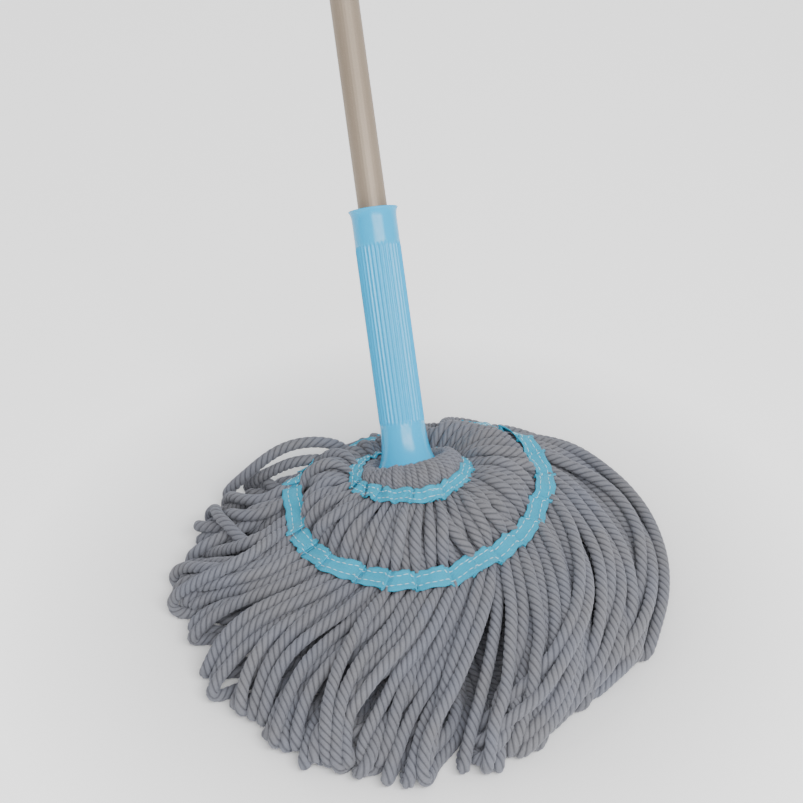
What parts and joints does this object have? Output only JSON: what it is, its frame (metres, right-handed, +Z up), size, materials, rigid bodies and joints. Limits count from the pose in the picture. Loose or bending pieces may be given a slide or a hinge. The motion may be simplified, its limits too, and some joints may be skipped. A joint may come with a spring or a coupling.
{
  "type": "self-wringing string mop",
  "caption": "Self-wringing string mop: a yarn head of looped strands on a leaning pole, with a sliding, turning sleeve that wrings it, and a telescopic handle.",
  "frame": {"origin": "centre of the foot cap's flat underside, on the pole's axis", "axes": "+Z up; the pole leans 40 degrees towards +Y and 8 degrees towards -X; +X across the mop; the floor the yarn lies on is at z = -0.0243"},
  "size_m": [0.376, 0.8849, 0.8248],
  "materials": {
    "yarn": "matt grey microfibre yarn, three-ply twisted cord",
    "webbing": "light-blue woven webbing with pale stitching",
    "blue_plastic": "glossy moulded light-blue plastic",
    "white_plastic": "matt moulded off-white plastic",
    "pole_metal": "satin champagne coated steel tube",
    "steel": "zinc-plated steel fastener"
  },
  "bodies": {
    "pole_lower": {"base_cap": "blue_plastic", "base_disc": "blue_plastic", "base_screw": "steel", "pole_plug": "white_plastic", "plug_rivet": "steel", "strand_clamp_ring": "white_plastic", "strand_root_ring": "yarn", "lower_tube": "pole_metal", "tube_glide": "white_plastic", "under_band": "webbing", "lower_bundle_01": "yarn", "lower_bundle_02": "yarn", "lower_bundle_03": "yarn", "lower_bundle_04": "yarn", "lower_bundle_05": "yarn", "lower_bundle_06": "yarn", "lower_bundle_07": "yarn", "lower_bundle_08": "yarn", "lower_bundle_09": "yarn", "lower_bundle_10": "yarn", "lower_bundle_11": "yarn", "lower_bundle_12": "yarn"},
    "sleeve_guide": {"guide_bush_bottom": "white_plastic", "guide_bush_top": "white_plastic", "outer_band": "webbing", "upper_bundle_01": "yarn", "upper_bundle_02": "yarn", "upper_bundle_03": "yarn", "upper_bundle_04": "yarn", "upper_bundle_05": "yarn", "upper_bundle_06": "yarn", "upper_bundle_07": "yarn", "upper_bundle_08": "yarn", "upper_bundle_09": "yarn", "upper_bundle_10": "yarn", "upper_bundle_11": "yarn", "upper_bundle_12": "yarn"},
    "wring_sleeve": {"wring_sleeve": "blue_plastic", "yarn_clamp_ring": "white_plastic", "yarn_collar": "yarn", "inner_band": "webbing"},
    "pole_upper": {"upper_tube": "pole_metal", "lock_collet": "white_plastic", "grip": "blue_plastic", "end_cap": "blue_plastic"},
    "lock_collar": {"lock_collar": "blue_plastic"}
  },
  "joints": [
    {"name": "sleeve_lift", "type": "slide", "parent": "pole_lower", "child": "sleeve_guide", "axis": [-0.1357, 0.6382, 0.7578], "range_m": [0, 0.27], "deforming": ["lower_bundle_01", "lower_bundle_02", "lower_bundle_03", "lower_bundle_04", "lower_bundle_05", "lower_bundle_06", "lower_bundle_07", "lower_bundle_08", "lower_bundle_09", "lower_bundle_10", "lower_bundle_11", "lower_bundle_12", "upper_bundle_01", "upper_bundle_02", "upper_bundle_03", "upper_bundle_04", "upper_bundle_05", "upper_bundle_06", "upper_bundle_07", "upper_bundle_08", "upper_bundle_09", "upper_bundle_10", "upper_bundle_11", "upper_bundle_12", "outer_band", "inner_band", "yarn_collar"]},
    {"name": "sleeve_twist", "type": "hinge", "parent": "sleeve_guide", "child": "wring_sleeve", "pos_m": [0, 0, 0], "axis": [-0.1357, 0.6382, 0.7578], "range_deg": [-150, 150]},
    {"name": "pole_extend", "type": "slide", "parent": "pole_lower", "child": "pole_upper", "axis": [-0.1357, 0.6382, 0.7578], "range_m": [0, 0.3]},
    {"name": "lock_turn", "type": "hinge", "parent": "pole_upper", "child": "lock_collar", "pos_m": [0, 0, 0], "axis": [-0.1357, 0.6382, 0.7578], "range_deg": [0, 90]}
  ]
}
